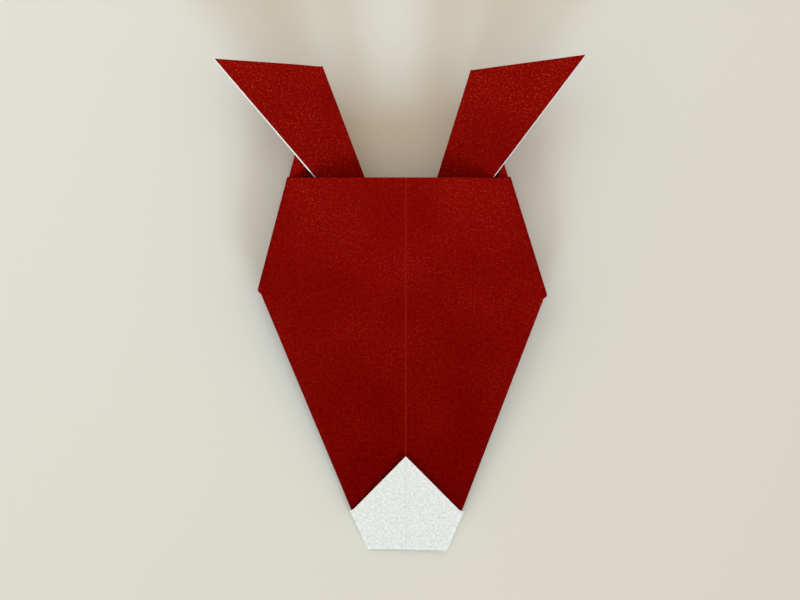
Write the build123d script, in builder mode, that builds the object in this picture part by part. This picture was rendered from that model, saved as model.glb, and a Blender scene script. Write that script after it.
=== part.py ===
from build123d import *
from math import sqrt
import os

# Origami horse face: one square sheet, folded nine times and lying on a table.
# Millimetres and degrees, +Z up. Creases are given on the flat sheet, which lies on its corner with
# the coloured side up, the nose corner at the origin and the opposite corner along +Y.
# Pairs of values are for the left and the right side of the face, which differ a little.

# Sheet, with its side corners drawn in by the paper that the rolls of the folds take up
sheet_side = 150
paper_thickness = 0.09
layer_pitch = 0.12
corner_take_up = (1.55, 1.05)

# Nose and the tip behind it: corners turned over to the coloured side
nose_fold = 21.15
back_tip_fold = (21.3, 20.75)
nose_lift_angle = 2.5

# Ears: side corners folded from a place on the ridge to a place on the raw edge
ear_top = (24.95, 26.6)
ear_root = (81.7, 77.7)
ear_spring_angle = (0.5, 2)

# Sides of the face: half widths at the nose fold and at the ridge
nose_half_width = (8.3, 9)
brow_half_width = (44.05, 41.95)
side_slack = (0.1, 0.16)
side_spring_angle = (0.4, 1.9)

# Cheeks: half widths of their crease at the ridge and at the widest place, and that place's height
crown_half_width = (26.45, 22.9)
cheek_half_width = (33.1, 31.25)
cheek_height = (81, 80.3)
cheek_spring_angle = (33.5, 27.6)

# Sizes that follow
half_turn = 180
half_diagonal = sheet_side / sqrt(2)
layer_gap = layer_pitch - paper_thickness
touch = paper_thickness / 50


def longest_support(points):
    """Ends of the longest line that has every point on it or above it."""
    spans = [(p, q) for p in points for q in points if q.X - p.X > touch]
    spans.sort(key=lambda span: span[0].X - span[1].X)
    for p, q in spans:
        slope = (q.Y - p.Y) / (q.X - p.X)
        if all(c.Y > p.Y + slope * (c.X - p.X) - touch for c in points):
            return p, q


def fold(sheet, start, end, turn, slack=0):
    """Turn the paper on the right of a crease, behind for a positive turn and to the front for a
    negative one. The layers roll about a line just clear of the nearest layer, with slack to spare.
    Gives the paper that stays, the paper that has turned, and the line."""
    along = end - start
    crease = Plane(origin=start, x_dir=along, z_dir=along.cross(Vector(0, 0, 1)))
    with BuildPart() as staying:
        add(sheet)
        split(bisect_by=crease, keep=Keep.BOTTOM)
    with BuildPart() as turning:
        add(sheet)
        split(bisect_by=crease, keep=Keep.TOP)
    upright_faces = turning.faces().filter_by(crease)
    cut_faces = upright_faces.filter_by(lambda f: abs(crease.to_local_coords(f.center()).Z) < touch)

    away = 1 if turn > 0 else -1
    corners = [crease.to_local_coords(v.center()) for v in cut_faces.vertices()]
    nearest = longest_support([Vector(c.X, away * c.Y) for c in corners])
    clear = layer_gap / 2 + slack
    axis_ends = [crease.from_local_coords(Vector(c.X, away * (c.Y - clear))) for c in nearest]
    axis = Axis(origin=axis_ends[0], direction=axis_ends[1] - axis_ends[0])
    with BuildPart() as turned:
        add(turning.part.rotate(axis, turn))
        revolve(cut_faces, axis=axis, revolution_arc=turn)
    return staying.part, turned.part, axis


def joined(*pieces):
    """One body of pieces that meet face to face."""
    with BuildPart() as body:
        for piece in pieces:
            add(piece)
    return body.part


# Flat sheet, on its corner
with BuildPart() as flat_sheet:
    with BuildSketch():
        with BuildLine():
            left_corner = Vector(corner_take_up[0] - half_diagonal, half_diagonal)
            right_corner = Vector(half_diagonal - corner_take_up[1], half_diagonal)
            Polyline((0, 0), right_corner, (0, 2 * half_diagonal), left_corner, close=True)
        make_face()
    extrude(amount=paper_thickness / 2, both=True)

# Both tips over to the coloured side, the nose left a little open
crease = (Vector(-half_diagonal, nose_fold), Vector(half_diagonal, nose_fold))
body, nose, _ = fold(flat_sheet.part, *crease, nose_lift_angle - half_turn)
body = joined(body, nose)
left_end, right_end = [
    Vector(hand * nose_half_width[side], 2 * half_diagonal - back_tip_fold[side])
    for side, hand in enumerate((-1, 1))
]
crease = (right_end, left_end)
body, back_tip, _ = fold(body, *crease, -half_turn)
body = joined(body, back_tip)

# In half along the ridge, the far half behind
crease = (Vector(half_diagonal, half_diagonal), Vector(-half_diagonal, half_diagonal))
body, far_half, _ = fold(body, *crease, half_turn)
body = joined(body, far_half)

# Ears, sides and cheeks behind, on the left and then on the right
ears = []
for side, hand in enumerate((-1, 1)):
    corner = (left_corner, right_corner)[side]
    ear_top_point = corner - Vector(hand * ear_top[side], 0)
    ear_root_point = corner.normalized() * ear_root[side]
    crease = (ear_top_point, ear_root_point)[::-hand]
    body, ear, _ = fold(body, *crease, half_turn - ear_spring_angle[side])

    brow = Vector(hand * brow_half_width[side], half_diagonal)
    nostril = Vector(hand * nose_half_width[side], nose_fold)
    crease = (brow, nostril)[::-hand]
    side_turn = half_turn - side_spring_angle[side]
    body, flap, side_axis = fold(body, *crease, side_turn, side_slack[side])
    body = joined(body, flap)
    ears.append(ear.rotate(side_axis, side_turn))

    crown = Vector(hand * crown_half_width[side], half_diagonal)
    cheek = Vector(hand * cheek_half_width[side], cheek_height[side])
    crease = (crown, cheek)[::-hand]
    body, cheek_flap, _ = fold(body, *crease, half_turn - cheek_spring_angle[side])
    body = joined(body, cheek_flap)

folded = joined(body, *ears)

# The table: through the two cheek tips and the first place ahead of them that comes down to it
points = [v.center() for v in folded.vertices()]
left_tip = min((p for p in points if p.X < 0), key=lambda p: p.Z)
right_tip = min((p for p in points if p.X > 0), key=lambda p: p.Z)
tip_line = Plane(origin=left_tip, x_dir=right_tip - left_tip, z_dir=(0, 0, 1))
ahead = [(p, tip_line.to_local_coords(p)) for p in points]
ahead = [(p, local) for p, local in ahead if local.Y < -nose_fold]
nose_end = min(ahead, key=lambda pair: pair[1].Z / -pair[1].Y)[0]
table = Plane(origin=left_tip, x_dir=(1, 0, 0), z_dir=(left_tip - nose_end).cross(left_tip - right_tip))
lying = table.to_local_coords(folded)
room = lying.bounding_box()

# Folded sheet, with the origin on the table in the middle of its bounding box
with BuildPart() as folded_sheet:
    add(Pos(-room.center().X, -room.center().Y, -room.min.Z) * lying)

os.makedirs("parts", exist_ok=True)
folded_sheet.part.label = "folded_sheet"
export_step(folded_sheet.part, "parts/folded_sheet.step")
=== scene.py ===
import math

import bmesh
import bpy
from mathutils import Matrix, Vector


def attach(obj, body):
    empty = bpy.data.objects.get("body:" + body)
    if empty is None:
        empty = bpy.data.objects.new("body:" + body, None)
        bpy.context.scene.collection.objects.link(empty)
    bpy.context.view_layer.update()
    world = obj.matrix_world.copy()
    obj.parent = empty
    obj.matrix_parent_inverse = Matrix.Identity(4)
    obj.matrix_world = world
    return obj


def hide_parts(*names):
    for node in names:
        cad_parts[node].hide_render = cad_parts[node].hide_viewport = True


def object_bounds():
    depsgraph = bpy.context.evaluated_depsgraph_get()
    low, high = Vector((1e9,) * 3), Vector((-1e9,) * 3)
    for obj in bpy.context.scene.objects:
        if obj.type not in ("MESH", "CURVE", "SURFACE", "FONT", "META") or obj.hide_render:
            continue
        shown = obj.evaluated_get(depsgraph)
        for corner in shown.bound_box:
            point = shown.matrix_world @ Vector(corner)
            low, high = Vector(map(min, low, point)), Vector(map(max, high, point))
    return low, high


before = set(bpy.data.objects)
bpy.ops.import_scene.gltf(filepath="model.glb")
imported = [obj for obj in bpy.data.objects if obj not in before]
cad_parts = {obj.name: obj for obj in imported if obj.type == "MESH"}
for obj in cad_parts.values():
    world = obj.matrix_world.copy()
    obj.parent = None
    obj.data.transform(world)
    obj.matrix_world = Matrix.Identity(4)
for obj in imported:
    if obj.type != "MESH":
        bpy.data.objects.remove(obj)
cad_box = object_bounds()

# Origami horse face: the square sheet is drawn flat, scored and folded crease by crease, then laid on
# the table. The sheet is in millimetres until it is laid down. Flat, it lies on its corner with the
# coloured side up, the nose corner at the origin and the opposite corner along +Y.
# Pairs of the sheet's sizes and angles are for the left and right side of the face, which differ a little.

mm = 0.001

# Left and right, along X
hands = (-1, 1)

# Sheet: its side corners are drawn in by the paper that the rolls of the folds take up
sheet_side = 150
paper_thickness = 0.09
layer_gap = 0.03
corner_take_up = (1.55, 1.05)

# Creases: where they run, and how far each fold stays open, in degrees
nose_fold = 21.15
back_tip_fold = (21.3, 20.75)
nose_lift = 2.5
ear_top = (24.95, 26.6)
ear_root = (81.7, 77.7)
ear_spring = (0.5, 2)
nose_half_width = (8.3, 9)
brow_half_width = (44.05, 41.95)
side_slack = (0.1, 0.16)
side_spring = (0.4, 1.9)
crown_half_width = (26.6, 23.3)
cheek_half_width = (33.1, 31.25)
cheek_height = (81, 80.3)
cheek_spring = (34.5, 32)

# Crease shape: the strip of paper that becomes a roll, and the share of it on either side that stays flat
crease_width = 0.4
flat_share = 0.1
roll_steps = 6

# Flaps sink behind the face, from their side and cheek creases inwards, and take the ears' roots with them
flap_sag = (3, 2.6)
cheek_margin = 0.3
cheek_reach = 6
side_reach = 12
ear_reach = 18
ear_share = 0.1

# Flaps are pressed up to the face along the cheek creases, against the spring and slack of the side folds
press_share = 0.85
press_reach = 15

# Layers creep in the folds of the ears, most of all a little way past the crease
ear_creep = (0.5, 0.25)
creep_reach = 6
creep_fade = 50
creep_left_share = 0.3

# The whole sheet ripples, and falls off on either side of its old middle crease
ripple_height = 0.5
ripple_length = 45
centre_slope = 0.012

# Mesh: the grid that lets the sheet bend, how near a cut and the start of an ear are taken, and the angle in
# degrees from which an edge stays sharp. Marks on the sheet are -1 on the left and 1 on the right, and count
# once they are larger than a half.
grid_step = 2
cut_tolerance = 1e-5
ear_tolerance = 1e-4
half_mark = 0.5
sharp_angle = 50

# Sizes that follow
half_turn = math.pi
half_diagonal = sheet_side / math.sqrt(2)
roll_half = crease_width / 2 - flat_share * crease_width
score_tolerance = crease_width / 100
up = Vector((0, 0, 1))
side_corners = [
    Vector((hand * (half_diagonal - take_up), half_diagonal, 0))
    for hand, take_up in zip(hands, corner_take_up)
]

# Sockets of a node that mixes colours: its share, the two colours and what it gives
mix_share, mix_from, mix_to, mixed = 0, 6, 7, 2


def linear(hex_colour):
    """sRGB hex colour as linear RGBA."""
    parts = [int(hex_colour[i : i + 2], 16) / 255 for i in (1, 3, 5)]
    return [c / 12.92 if c <= 0.04045 else ((c + 0.055) / 1.055) ** 2.4 for c in parts] + [1]


def add_node(tree, kind, inputs=None, **settings):
    """One node with its settings. Inputs are values, or sockets to link from."""
    node = tree.nodes.new(kind)
    for name, value in settings.items():
        setattr(node, name, value)
    for key, value in (inputs or {}).items():
        if isinstance(value, bpy.types.NodeSocket):
            tree.links.new(value, node.inputs[key])
        else:
            node.inputs[key].default_value = value
    return node


def new_material(name, finish):
    """A material with its output, and the shader with this finish that feeds it."""
    material = bpy.data.materials.new(name)
    material.use_nodes = True
    tree = material.node_tree
    tree.nodes.clear()
    shader = add_node(tree, "ShaderNodeBsdfPrincipled", finish)
    add_node(tree, "ShaderNodeOutputMaterial", {"Surface": shader.outputs[0]})
    return material, tree, shader


# Paper on both sides: the depth of its tooth, and half the width of the line of the old middle crease
paper_ior = 1.5
relief_depth = 0.05
crease_line = 0.35

# Uncoated paper dyed red on its face: matte and deep, with fine paler fibres and sparse orange flecks, and a
# faint line where the sheet was once creased. Painted light: the dye is painted paler towards the ridge, the
# top of the face, where more light falls, and more flecks are painted there and towards the ears as a
# painted sheen. Fibres and flecks are drawn coarser than real ones, so that they show.
red_deep = "#5c0000"
red_pale = "#8c0a04"
red_fleck = "#b2401f"
red_worn = "#8f1d14"
red_roughness = 0.85
red_specular = 0.01
red_relief = 0.25
fibre_size = 0.8
fibre_detail = 3
fibre_roughness = 0.75
fibre_share = 1.2
cloud_size = 18
cloud_share = 0.4
fleck_size = 0.4
fleck_range = (0.58, 0.8)
blot_detail = 1
painted_top_light_share = 0.46
tone_range = (0.7, 1.5)
painted_sheen_share = 0.3
patch_range = (0.35, 0.65)
patch_shares = (0.4, 1.6)
worn_line_share = 0.5


def dyed_red_paper():
    finish = {"Roughness": red_roughness, "IOR": paper_ior, "Specular IOR Level": red_specular}
    material, tree, shader = new_material("paper, dyed red, matte", finish)
    flat = add_node(tree, "ShaderNodeUVMap", uv_map="flat sheet").outputs[0]
    across, along = add_node(tree, "ShaderNodeSeparateXYZ", {0: flat}).outputs[:2]
    beside = add_node(tree, "ShaderNodeMath", {0: across}, operation="ABSOLUTE").outputs[0]

    # Dye: fibres and soft clouds, with painted light that makes it paler towards the ridge
    fibres = add_node(
        tree,
        "ShaderNodeTexNoise",
        {"Vector": flat, "Scale": 1 / fibre_size, "Detail": fibre_detail, "Roughness": fibre_roughness},
    ).outputs[0]
    clouds = add_node(
        tree, "ShaderNodeTexNoise", {"Vector": flat, "Scale": 1 / cloud_size, "Detail": blot_detail}
    ).outputs[0]
    # Painted light: the face is painted paler towards its top, as if more light fell there
    painted_top_light = add_node(
        tree,
        "ShaderNodeMapRange",
        {
            "Value": along,
            "From Min": nose_fold,
            "From Max": half_diagonal,
            "To Min": 0,
            "To Max": painted_top_light_share,
        },
        clamp=True,
    ).outputs[0]
    tone = add_node(
        tree, "ShaderNodeMath", {0: fibres, 1: fibre_share, 2: painted_top_light}, operation="MULTIPLY_ADD"
    ).outputs[0]
    tone = add_node(
        tree, "ShaderNodeMath", {0: clouds, 1: cloud_share, 2: tone}, operation="MULTIPLY_ADD"
    ).outputs[0]
    tone = add_node(
        tree,
        "ShaderNodeMapRange",
        {"Value": tone, "From Min": tone_range[0], "From Max": tone_range[1]},
        clamp=True,
    ).outputs[0]
    dye = add_node(
        tree,
        "ShaderNodeMix",
        {mix_share: tone, mix_from: linear(red_deep), mix_to: linear(red_pale)},
        data_type="RGBA",
    ).outputs[mixed]

    # Flecks: most where the ridge is painted paler and, as a painted sheen, towards its side corners, in
    # patches
    flecks = add_node(
        tree, "ShaderNodeTexNoise", {"Vector": flat, "Scale": 1 / fleck_size, "Detail": blot_detail}
    ).outputs[0]
    flecks = add_node(
        tree,
        "ShaderNodeMapRange",
        {"Value": flecks, "From Min": fleck_range[0], "From Max": fleck_range[1]},
        clamp=True,
    ).outputs[0]
    # Painted sheen: more flecks towards the side corners, where the ears' tips are
    corners = add_node(
        tree,
        "ShaderNodeMapRange",
        {
            "Value": beside,
            "From Min": half_diagonal / 2,
            "From Max": half_diagonal,
            "To Min": 0,
            "To Max": painted_sheen_share,
        },
        clamp=True,
    ).outputs[0]
    patches = add_node(
        tree,
        "ShaderNodeMapRange",
        {
            "Value": clouds,
            "From Min": patch_range[0],
            "From Max": patch_range[1],
            "To Min": patch_shares[0],
            "To Max": patch_shares[1],
        },
        clamp=True,
    ).outputs[0]
    # The fleck share follows the painted light and painted sheen, broken into random patches
    painted_light_fleck_share = add_node(tree, "ShaderNodeMath", {0: painted_top_light, 1: corners}, operation="ADD").outputs[0]
    painted_light_fleck_share = add_node(tree, "ShaderNodeMath", {0: painted_light_fleck_share, 1: patches}, operation="MULTIPLY").outputs[0]
    flecks = add_node(tree, "ShaderNodeMath", {0: flecks, 1: painted_light_fleck_share}, operation="MULTIPLY").outputs[0]
    flecked = add_node(
        tree,
        "ShaderNodeMix",
        {mix_share: flecks, mix_from: dye, mix_to: linear(red_fleck)},
        data_type="RGBA",
    ).outputs[mixed]

    # The old middle crease, and the tooth of the fibres
    line = add_node(
        tree,
        "ShaderNodeMapRange",
        {
            "Value": beside,
            "From Min": 0,
            "From Max": crease_line,
            "To Min": worn_line_share,
            "To Max": 0,
        },
        clamp=True,
    ).outputs[0]
    colour = add_node(
        tree,
        "ShaderNodeMix",
        {mix_share: line, mix_from: flecked, mix_to: linear(red_worn)},
        data_type="RGBA",
    ).outputs[mixed]
    tree.links.new(colour, shader.inputs["Base Color"])
    relief = add_node(
        tree,
        "ShaderNodeBump",
        {"Height": fibres, "Strength": red_relief, "Distance": relief_depth * mm},
    ).outputs[0]
    tree.links.new(relief, shader.inputs["Normal"])
    return material


# The undyed back of the same sheet, and its cut edges: bright off-white with a soft mottling of fibres, and
# the other side of the old crease as a faint grey line. The mottling is drawn coarser than a real one, so
# that it shows.
white_bright = "#f0f0eb"
white_dull = "#d0d2ca"
white_roughness = 0.8
white_specular = 0.2
white_relief = 0.3
mottle_size = 0.6
mottle_detail = 3
mottle_roughness = 0.6
mottle_range = (0.3, 0.7)
dull_line_share = 0.6


def undyed_white_paper():
    finish = {"Roughness": white_roughness, "IOR": paper_ior, "Specular IOR Level": white_specular}
    material, tree, shader = new_material("paper, undyed white, matte", finish)
    flat = add_node(tree, "ShaderNodeUVMap", uv_map="flat sheet").outputs[0]
    across = add_node(tree, "ShaderNodeSeparateXYZ", {0: flat}).outputs[0]
    beside = add_node(tree, "ShaderNodeMath", {0: across}, operation="ABSOLUTE").outputs[0]
    mottle = add_node(
        tree,
        "ShaderNodeTexNoise",
        {"Vector": flat, "Scale": 1 / mottle_size, "Detail": mottle_detail, "Roughness": mottle_roughness},
    ).outputs[0]
    tone = add_node(
        tree,
        "ShaderNodeMapRange",
        {"Value": mottle, "From Min": mottle_range[0], "From Max": mottle_range[1]},
        clamp=True,
    ).outputs[0]
    line = add_node(
        tree,
        "ShaderNodeMapRange",
        {
            "Value": beside,
            "From Min": 0,
            "From Max": crease_line,
            "To Min": dull_line_share,
            "To Max": 1,
        },
        clamp=True,
    ).outputs[0]
    tone = add_node(tree, "ShaderNodeMath", {0: tone, 1: line}, operation="MULTIPLY").outputs[0]
    colour = add_node(
        tree,
        "ShaderNodeMix",
        {mix_share: tone, mix_from: linear(white_dull), mix_to: linear(white_bright)},
        data_type="RGBA",
    ).outputs[mixed]
    tree.links.new(colour, shader.inputs["Base Color"])
    relief = add_node(
        tree,
        "ShaderNodeBump",
        {"Height": mottle, "Strength": white_relief, "Distance": relief_depth * mm},
    ).outputs[0]
    tree.links.new(relief, shader.inputs["Normal"])
    return material


red_paper = dyed_red_paper()
white_paper = undyed_white_paper()


def new_tree(name, sockets):
    """An empty Geometry Nodes tree with named inputs, and the outputs of its input node."""
    tree = bpy.data.node_groups.new(name, "GeometryNodeTree")
    tree.interface.new_socket("Sheet", in_out="INPUT", socket_type="NodeSocketGeometry")
    for socket, kind in sockets.items():
        tree.interface.new_socket(socket, in_out="INPUT", socket_type=kind)
    tree.interface.new_socket("Sheet", in_out="OUTPUT", socket_type="NodeSocketGeometry")
    return tree, add_node(tree, "NodeGroupInput").outputs


def end_tree(tree, sheet):
    """Real geometry, the coloured side red and all else white."""
    sheet = add_node(tree, "GeometryNodeRealizeInstances", {0: sheet}).outputs[0]
    white = add_node(
        tree, "GeometryNodeSetMaterial", {"Geometry": sheet, "Material": white_paper}
    ).outputs[0]
    coloured = add_node(
        tree, "GeometryNodeInputNamedAttribute", {"Name": "coloured"}, data_type="INT"
    ).outputs[0]
    red = add_node(
        tree,
        "GeometryNodeSetMaterial",
        {"Geometry": white, "Selection": coloured, "Material": red_paper},
    ).outputs[0]
    add_node(tree, "NodeGroupOutput", {0: red})


def fold_rule():
    """The rule of a fold: paper past the crease turns about the roll line, and the strip along the crease
    becomes the roll. With creep, a layer further out on the roll ends further back."""
    tree, given = new_tree(
        "Fold paper",
        {
            "Crease Point": "NodeSocketVector",
            "Flap Direction": "NodeSocketVector",
            "Roll Point": "NodeSocketVector",
            "Roll Direction": "NodeSocketVector",
            "Turn": "NodeSocketFloat",
            "Creep": "NodeSocketFloat",
            "Hold Ears": "NodeSocketBool",
        },
    )
    place = add_node(tree, "GeometryNodeInputPosition").outputs[0]
    from_crease = add_node(
        tree, "ShaderNodeVectorMath", {0: place, 1: given["Crease Point"]}, operation="SUBTRACT"
    ).outputs[0]
    past = add_node(
        tree,
        "ShaderNodeVectorMath",
        {0: from_crease, 1: given["Flap Direction"]},
        operation="DOT_PRODUCT",
    ).outputs["Value"]

    # Distance past the crease once the strip has given its paper to the roll: what stays flat of it is
    # stretched to its half width
    stretch = 0.5 / flat_share
    distance = add_node(tree, "ShaderNodeMath", {0: past}, operation="ABSOLUTE").outputs[0]
    off_roll = add_node(
        tree, "ShaderNodeMath", {0: distance, 1: roll_half}, operation="SUBTRACT"
    ).outputs[0]
    off_roll = add_node(tree, "ShaderNodeMath", {0: off_roll, 1: 0}, operation="MAXIMUM").outputs[0]
    stretched = add_node(
        tree, "ShaderNodeMath", {0: off_roll, 1: stretch}, operation="MULTIPLY"
    ).outputs[0]
    new_distance = add_node(
        tree, "ShaderNodeMath", {0: distance, 1: stretched}, operation="MINIMUM"
    ).outputs[0]
    side = add_node(tree, "ShaderNodeMath", {0: past}, operation="SIGN").outputs[0]
    new_past = add_node(
        tree, "ShaderNodeMath", {0: new_distance, 1: side}, operation="MULTIPLY"
    ).outputs[0]

    # Creep: the roll's radius at this layer, times the turn, taken in beyond the crease
    from_roll = add_node(
        tree, "ShaderNodeVectorMath", {0: place, 1: given["Roll Point"]}, operation="SUBTRACT"
    ).outputs[0]
    radius = add_node(tree, "ShaderNodeSeparateXYZ", {0: from_roll}).outputs[2]
    grows = add_node(
        tree,
        "ShaderNodeMapRange",
        {"Value": past, "From Min": crease_width, "From Max": creep_reach},
        clamp=True,
    ).outputs[0]
    fades = add_node(
        tree,
        "ShaderNodeMapRange",
        {
            "Value": past,
            "From Min": creep_reach,
            "From Max": creep_fade,
            "To Min": 1,
            "To Max": creep_left_share,
        },
        clamp=True,
    ).outputs[0]
    taken = radius
    for factor in (given["Turn"], given["Creep"], grows, fades):
        taken = add_node(tree, "ShaderNodeMath", {0: taken, 1: factor}, operation="MULTIPLY").outputs[0]

    # Shift along the sheet, then the turn about the roll line. Ears that are held stay where they are.
    shift = add_node(tree, "ShaderNodeMath", {0: new_past, 1: past}, operation="SUBTRACT").outputs[0]
    shift = add_node(tree, "ShaderNodeMath", {0: shift, 1: taken}, operation="SUBTRACT").outputs[0]
    shifted = add_node(
        tree, "ShaderNodeVectorMath", {0: given["Flap Direction"], "Scale": shift}, operation="SCALE"
    ).outputs[0]
    shifted = add_node(tree, "ShaderNodeVectorMath", {0: place, 1: shifted}, operation="ADD").outputs[0]
    turn = add_node(
        tree,
        "ShaderNodeMapRange",
        {
            "Value": past,
            "From Min": -roll_half,
            "From Max": roll_half,
            "To Min": 0,
            "To Max": given["Turn"],
        },
        clamp=True,
    ).outputs[0]
    turned = add_node(
        tree,
        "ShaderNodeVectorRotate",
        {
            "Vector": shifted,
            "Center": given["Roll Point"],
            "Axis": given["Roll Direction"],
            "Angle": turn,
        },
        rotation_type="AXIS_ANGLE",
    ).outputs[0]
    ear = add_node(
        tree, "GeometryNodeInputNamedAttribute", {"Name": "ear"}, data_type="FLOAT"
    ).outputs[0]
    ear = add_node(tree, "ShaderNodeMath", {0: ear}, operation="ABSOLUTE").outputs[0]
    ear = add_node(tree, "ShaderNodeMath", {0: ear, 1: half_mark}, operation="GREATER_THAN").outputs[0]
    moves = add_node(
        tree, "FunctionNodeBooleanMath", {0: ear, 1: given["Hold Ears"]}, operation="NAND"
    ).outputs[0]
    folded = add_node(
        tree,
        "GeometryNodeSetPosition",
        {"Geometry": given["Sheet"], "Selection": moves, "Position": turned},
    ).outputs[0]
    end_tree(tree, folded)
    return tree


def settle_rule():
    """The rule of the springy sheet: flaps sink behind the face, and all layers ripple and fall off from the
    old middle crease as one."""
    tree, given = new_tree(
        "Settle paper",
        {
            "Ripple Height": "NodeSocketFloat",
            "Ripple Length": "NodeSocketFloat",
            "Centre Slope": "NodeSocketFloat",
        },
    )
    place = add_node(tree, "GeometryNodeInputPosition").outputs[0]
    per_length = add_node(
        tree, "ShaderNodeMath", {0: 1, 1: given["Ripple Length"]}, operation="DIVIDE"
    ).outputs[0]
    ripple = add_node(
        tree,
        "ShaderNodeTexNoise",
        {"Vector": place, "Scale": per_length, "Detail": 0},
        noise_dimensions="2D",
    ).outputs[0]
    ripple = add_node(
        tree, "ShaderNodeMath", {0: ripple, 1: given["Ripple Height"]}, operation="MULTIPLY"
    ).outputs[0]
    across = add_node(tree, "ShaderNodeSeparateXYZ", {0: place}).outputs[0]
    beside = add_node(tree, "ShaderNodeMath", {0: across}, operation="ABSOLUTE").outputs[0]
    slope = add_node(
        tree, "ShaderNodeMath", {0: beside, 1: given["Centre Slope"]}, operation="MULTIPLY"
    ).outputs[0]
    sag = add_node(
        tree, "GeometryNodeInputNamedAttribute", {"Name": "sag"}, data_type="FLOAT"
    ).outputs[0]
    height = add_node(tree, "ShaderNodeMath", {0: ripple, 1: slope}, operation="SUBTRACT").outputs[0]
    height = add_node(tree, "ShaderNodeMath", {0: height, 1: sag}, operation="SUBTRACT").outputs[0]
    offset = add_node(tree, "ShaderNodeCombineXYZ", {2: height}).outputs[0]
    settled = add_node(
        tree, "GeometryNodeSetPosition", {"Geometry": given["Sheet"], "Offset": offset}
    ).outputs[0]
    end_tree(tree, settled)
    return tree


def apply_rule(sheet, rule, values):
    """The sheet's mesh becomes what the rule makes of it."""
    modifier = sheet.modifiers.new(rule.name, "NODES")
    modifier.node_group = rule
    for socket in rule.interface.items_tree:
        if socket.in_out == "INPUT" and socket.name in values:
            modifier[socket.identifier] = values[socket.name]
    evaluated = sheet.evaluated_get(bpy.context.evaluated_depsgraph_get())
    mesh = bpy.data.meshes.new_from_object(evaluated)
    sheet.modifiers.remove(modifier)
    sheet.data = mesh


def smooth_rise(x):
    """0 to 1 as x goes from 0 to 1, level at both ends."""
    x = min(max(x, 0), 1)
    return x * x * (3 - 2 * x)


def cut(bm, point, normal, faces):
    """Cut faces of the sheet by a plane."""
    edges = {e for f in faces for e in f.edges}
    verts = {v for f in faces for v in f.verts}
    geom = [*verts, *edges, *faces]
    bmesh.ops.bisect_plane(bm, geom=geom, dist=cut_tolerance, plane_co=point, plane_no=normal)


def flat_sheet():
    """The square on its corner, as thick as the paper, with a grid of small triangles that lets it bend."""
    bm = bmesh.new()
    coloured = bm.faces.layers.int.new("coloured")
    for mark in ("ear", "flap", "off ear crease", "sag"):
        bm.verts.layers.float.new(mark)
    corners = [Vector((0, 0, 0)), side_corners[1], Vector((0, 2 * half_diagonal, 0)), side_corners[0]]
    front = [bm.verts.new(corner + up * paper_thickness / 2) for corner in corners]
    back = [bm.verts.new(corner - up * paper_thickness / 2) for corner in corners]
    bm.faces.new(front)[coloured] = 1
    bm.faces.new(back[::-1])
    for i, j in ((0, 1), (1, 2), (2, 3), (3, 0)):
        bm.faces.new((back[i], back[j], front[j], front[i]))
    steps = math.ceil(half_diagonal / grid_step)
    for across in (Vector((1, 0, 0)), Vector((0, 1, 0)), Vector((1, 1, 0)), Vector((1, -1, 0))):
        for step in range(-steps, steps + 1):
            offset = Vector((across.x, 1 - across.x, 0)) * step * grid_step
            cut(bm, Vector((0, half_diagonal, 0)) + offset, across, bm.faces[:])
    flat = bm.loops.layers.uv.new("flat sheet")
    for face in bm.faces:
        for loop in face.loops:
            loop[flat].uv = loop.vert.co.xy
    mesh = bpy.data.meshes.new("flat sheet")
    bm.to_mesh(mesh)
    bm.free()
    sheet = bpy.data.objects.new("folded_paper", mesh)
    bpy.context.scene.collection.objects.link(sheet)
    return sheet


def longest_support(points):
    """Ends of the longest side of the lower hull of points: a line with every point on it or above it."""
    hull = []
    for p in sorted(points):
        while len(hull) > 1:
            (x1, y1), (x2, y2) = hull[-2:]
            if (x2 - x1) * (p[1] - y1) > (y2 - y1) * (p[0] - x1):
                break
            hull.pop()
        hull.append(p)
    return max(zip(hull, hull[1:]), key=lambda ends: ends[1][0] - ends[0][0])


def fold(sheet, start, end, turn, slack=0, creep=0, mark=None, hold_ears=False):
    """Score a crease through every layer, and turn the paper on its right, behind for a positive turn and
    to the front for a negative one. The layers roll about a line just clear of the nearest layer, with
    slack to spare. Mark sets values on the scored sheet before it turns. Held ears aren't folded."""
    along = (end - start).normalized()
    flap_direction = along.cross(up)
    bm = bmesh.new()
    bm.from_mesh(sheet.data)
    ear = bm.verts.layers.float["ear"]

    def past(v):
        """How far a corner of the mesh lies past the crease."""
        return (v.co - start).dot(flap_direction)

    def held(v):
        """Whether it is on an ear that isn't folded."""
        return hold_ears and abs(v[ear]) > half_mark

    rows = [roll_half * (2 * step / roll_steps - 1) for step in range(roll_steps + 1)]
    for row in [-crease_width / 2, *rows, crease_width / 2]:
        distances = {v: past(v) for v in bm.verts}
        near = []
        for face in bm.faces:
            ends = [distances[v] for v in face.verts]
            if min(ends) < row < max(ends) and not any(held(v) for v in face.verts):
                near.append(face)
        if near:
            cut(bm, start + flap_direction * row, flap_direction, near)

    away = 1 if turn > 0 else -1
    section = [
        ((v.co - start).dot(along), away * v.co.z)
        for v in bm.verts
        if abs(past(v)) < score_tolerance and not held(v)
    ]
    roll_ends = [
        Vector((*(start + along * u).xy, away * (height - layer_gap / 2 - slack)))
        for u, height in longest_support(section)
    ]
    if mark:
        mark(bm, past)
    bm.to_mesh(sheet.data)
    bm.free()
    apply_rule(
        sheet,
        folding,
        {
            "Crease Point": start,
            "Flap Direction": flap_direction,
            "Roll Point": roll_ends[0],
            "Roll Direction": roll_ends[1] - roll_ends[0],
            "Turn": turn,
            "Creep": creep,
            "Hold Ears": hold_ears,
        },
    )


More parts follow.
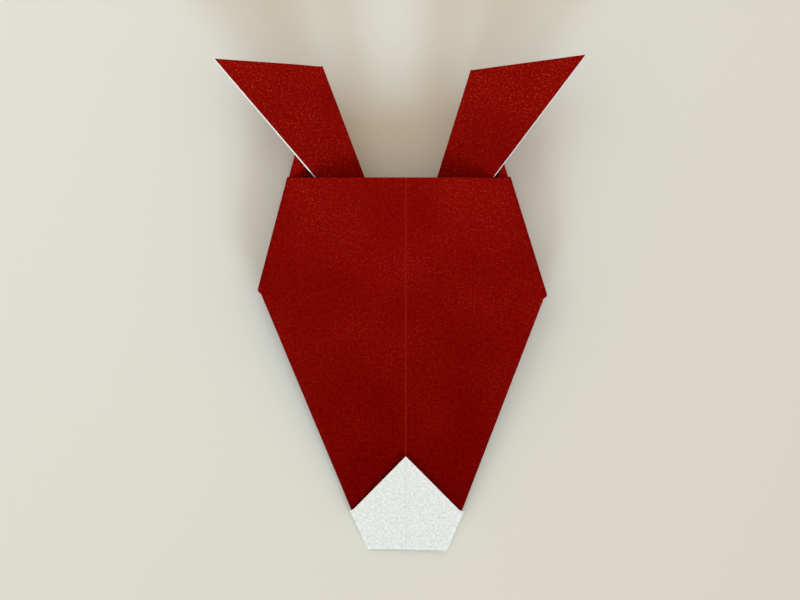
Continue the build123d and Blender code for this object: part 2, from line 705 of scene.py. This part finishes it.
def press(sheet, side, off_side, off_cheek):
    """Press a side's flap up to the face along the cheek crease to come."""
    bm = bmesh.new()
    bm.from_mesh(sheet.data)
    flap = bm.verts.layers.float["flap"]
    slope = press_share * math.radians(side_spring[side])
    slack = press_share * side_slack[side]
    for v in bm.verts:
        if v[flap] * hands[side] > half_mark:
            inwards = max(off_side(v), 0)
            lift = slope * inwards + slack * smooth_rise(inwards / side_reach)
            v.co.z += lift * (1 - smooth_rise(abs(off_cheek(v)) / press_reach))
    bm.to_mesh(sheet.data)
    bm.free()


def fold_side(sheet, side):
    """Fold one side's ear, side of the face and cheek behind, in that order."""
    hand = hands[side]
    ear_top_point = side_corners[side] - Vector((hand * ear_top[side], 0, 0))
    ear_root_point = side_corners[side].normalized() * ear_root[side]
    ear_crease = (ear_top_point, ear_root_point)[::-hand]
    brow = Vector((hand * brow_half_width[side], half_diagonal, 0))
    nostril = Vector((hand * nose_half_width[side], nose_fold, 0))
    side_crease = (brow, nostril)[::-hand]
    side_direction = (side_crease[1] - side_crease[0]).normalized().cross(up)
    crown = Vector((hand * crown_half_width[side], half_diagonal, 0))
    cheek = Vector((hand * cheek_half_width[side], cheek_height[side], 0))
    cheek_crease = (crown, cheek)[::-hand]
    cheek_direction = (cheek - crown).normalized().cross(up)

    def off_side(v):
        """How far a corner of the mesh lies inwards of the side crease."""
        return -(v.co - nostril).dot(side_direction)

    def off_cheek(v):
        """How far it lies to one side of the cheek crease, negative on the other."""
        return (v.co - crown).dot(cheek_direction)

    def mark_ear(bm, past):
        """Mark the ear, and how far its paper lies past the crease."""
        ear = bm.verts.layers.float["ear"]
        off_crease = bm.verts.layers.float["off ear crease"]
        for v in bm.verts:
            if past(v) > -roll_half + ear_tolerance:
                v[ear] = hand
                v[off_crease] = past(v)

    def mark_flap(bm, past):
        """Mark the flap that turns behind the face, with the ear in it."""
        flap = bm.verts.layers.float["flap"]
        for v in bm.verts:
            if past(v) > 0:
                v[flap] = hand

    def mark_sag(bm, past):
        """Set how far the flap and its ear sink behind the face, more towards the ridge."""
        ear = bm.verts.layers.float["ear"]
        flap = bm.verts.layers.float["flap"]
        off_crease = bm.verts.layers.float["off ear crease"]
        sag = bm.verts.layers.float["sag"]
        for v in bm.verts:
            if v[flap] * hand > half_mark:
                v[sag] = flap_sag[side] * smooth_rise((-past(v) - cheek_margin) / cheek_reach)
                v[sag] *= smooth_rise(off_side(v) / side_reach)
                v[sag] *= smooth_rise((v.co.y - nose_fold) / (half_diagonal - nose_fold))
                if v[ear] * hand > half_mark:
                    v[sag] *= 1 - (1 - ear_share) * smooth_rise(v[off_crease] / ear_reach)

    ear_turn, side_turn, cheek_turn = [
        half_turn - math.radians(spring[side]) for spring in (ear_spring, side_spring, cheek_spring)
    ]
    fold(sheet, *ear_crease, ear_turn, creep=ear_creep[side], mark=mark_ear)
    fold(sheet, *side_crease, side_turn, slack=side_slack[side], mark=mark_flap)
    press(sheet, side, off_side, off_cheek)
    fold(sheet, *cheek_crease, cheek_turn, mark=mark_sag, hold_ears=True)


folding = fold_rule()
settling = settle_rule()
sheet = flat_sheet()

# Both tips over to the coloured side, the nose left a little open, then in half along the ridge
fold(
    sheet,
    Vector((-half_diagonal, nose_fold, 0)),
    Vector((half_diagonal, nose_fold, 0)),
    math.radians(nose_lift) - half_turn,
)
left_end, right_end = [
    Vector((hand * nose_half_width[side], 2 * half_diagonal - back_tip_fold[side], 0))
    for side, hand in enumerate(hands)
]
fold(sheet, right_end, left_end, -half_turn)
fold(
    sheet,
    Vector((half_diagonal, half_diagonal, 0)),
    Vector((-half_diagonal, half_diagonal, 0)),
    half_turn,
)

# Ears, sides and cheeks behind, on the left and then on the right
for side in range(len(hands)):
    fold_side(sheet, side)

apply_rule(
    sheet,
    settling,
    {"Ripple Height": ripple_height, "Ripple Length": ripple_length, "Centre Slope": centre_slope},
)

# Laid on the table: on the two cheek tips and the first place ahead of them that comes down to it
points = [v.co for v in sheet.data.vertices]
left_tip = min((p for p in points if p.x < 0), key=lambda p: p.z)
right_tip = min((p for p in points if p.x > 0), key=lambda p: p.z)
tip_line = (right_tip - left_tip).normalized()
forward = tip_line.cross(up).normalized()
ahead = [p for p in points if (p - left_tip).dot(forward) > nose_fold]
nose_end = min(ahead, key=lambda p: (p - left_tip).z / (p - left_tip).dot(forward))
table_up = (left_tip - nose_end).cross(left_tip - right_tip).normalized()
table_back = table_up.cross(Vector((1, 0, 0))).normalized()
turned = Matrix((table_back.cross(table_up), table_back, table_up))
laid = [turned @ p for p in points]
low = Vector([min(p[i] for p in laid) for i in range(3)])
high = Vector([max(p[i] for p in laid) for i in range(3)])
middle = Vector(((low.x + high.x) / 2, (low.y + high.y) / 2, low.z)) * mm
room_low, room_high = cad_box
room_middle = Vector(((room_low.x + room_high.x) / 2, (room_low.y + room_high.y) / 2, room_low.z))
lay_down = Matrix.Translation(room_middle - middle) @ turned.to_4x4() @ Matrix.Scale(mm, 4)
sheet.data.transform(lay_down)
sheet.data.polygons.foreach_set("use_smooth", [True] * len(sheet.data.polygons))
sheet.data.set_sharp_from_angle(angle=math.radians(sharp_angle))

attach(sheet, "root")
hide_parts("folded_sheet")

# Table top: smooth pale card, warm grey and matte, with hardly any texture. Its side is in metres.
table_colour = "#e0ded2"
table_side = 3.0
card_roughness = 0.9
card_specular = 0.1


def pale_card():
    finish = {
        "Base Color": linear(table_colour),
        "Roughness": card_roughness,
        "Specular IOR Level": card_specular,
    }
    return new_material("card, pale warm grey, matte", finish)[0]


bm = bmesh.new()
bmesh.ops.create_grid(bm, x_segments=1, y_segments=1, size=table_side / 2)
table_mesh = bpy.data.meshes.new("table")
bm.to_mesh(table_mesh)
bm.free()
table_mesh.materials.append(pale_card())
table = bpy.data.objects.new("table", table_mesh)
bpy.context.scene.collection.objects.link(table)

# Two soft cool lamps from below the nose, aimed past the ears, a small one over the left ear, and a warm
# sky. Places and sizes of lamps are in metres, and spreads in degrees.
sky_level = 0.67
sky_colour = "#ffe7cc"
lamp_places = ((-0.55, -1.3, 0.78), (0.55, -1.3, 0.78), (-0.2, 0.3, 0.5))
lamp_aims = ((-0.4, 1.6, 0), (-0.4, 1.6, 0), (0, 0, 0))
lamp_spreads = (60, 60, 180)
lamp_sizes = (0.6, 0.6, 0.4)
lamp_watts = (4.4, 3, 0.5)
lamp_colour = "#c3e5ff"

world = bpy.data.worlds.new("studio")
world.use_nodes = True
sky = world.node_tree.nodes["Background"]
sky.inputs["Color"].default_value = linear(sky_colour)
sky.inputs["Strength"].default_value = sky_level
bpy.context.scene.world = world
lamps = zip(lamp_places, lamp_aims, lamp_spreads, lamp_sizes, lamp_watts)
for place, aim, spread, size, watts in lamps:
    lamp = bpy.data.lights.new("soft lamp", "AREA")
    lamp.size = size
    lamp.spread = math.radians(spread)
    lamp.energy = watts
    lamp.color = linear(lamp_colour)[:3]
    lamp_object = bpy.data.objects.new("soft lamp", lamp)
    lamp_object.location = place
    lamp_object.rotation_euler = (Vector(aim) - Vector(place)).to_track_quat("-Z", "Y").to_euler()
    bpy.context.scene.collection.objects.link(lamp_object)

# Camera square to the face, from far enough to have hardly any perspective. Its middle, width and distance
# are in the sheet's millimetres, and its reach in metres.
view_middle = (-1.33, 78.06)
view_width = 183.4
view_distance = 900
camera_reach = 10

camera = bpy.data.cameras.new("camera")
camera.lens = camera.sensor_width * view_distance / view_width
camera.clip_end = camera_reach
camera_object = bpy.data.objects.new("camera", camera)
eye = lay_down @ Vector((*view_middle, view_distance))
camera_object.matrix_world = Matrix.Translation(eye) @ turned.to_4x4()
bpy.context.scene.collection.objects.link(camera_object)
bpy.context.scene.camera = camera_object

bpy.context.scene.view_settings.view_transform = "Standard"
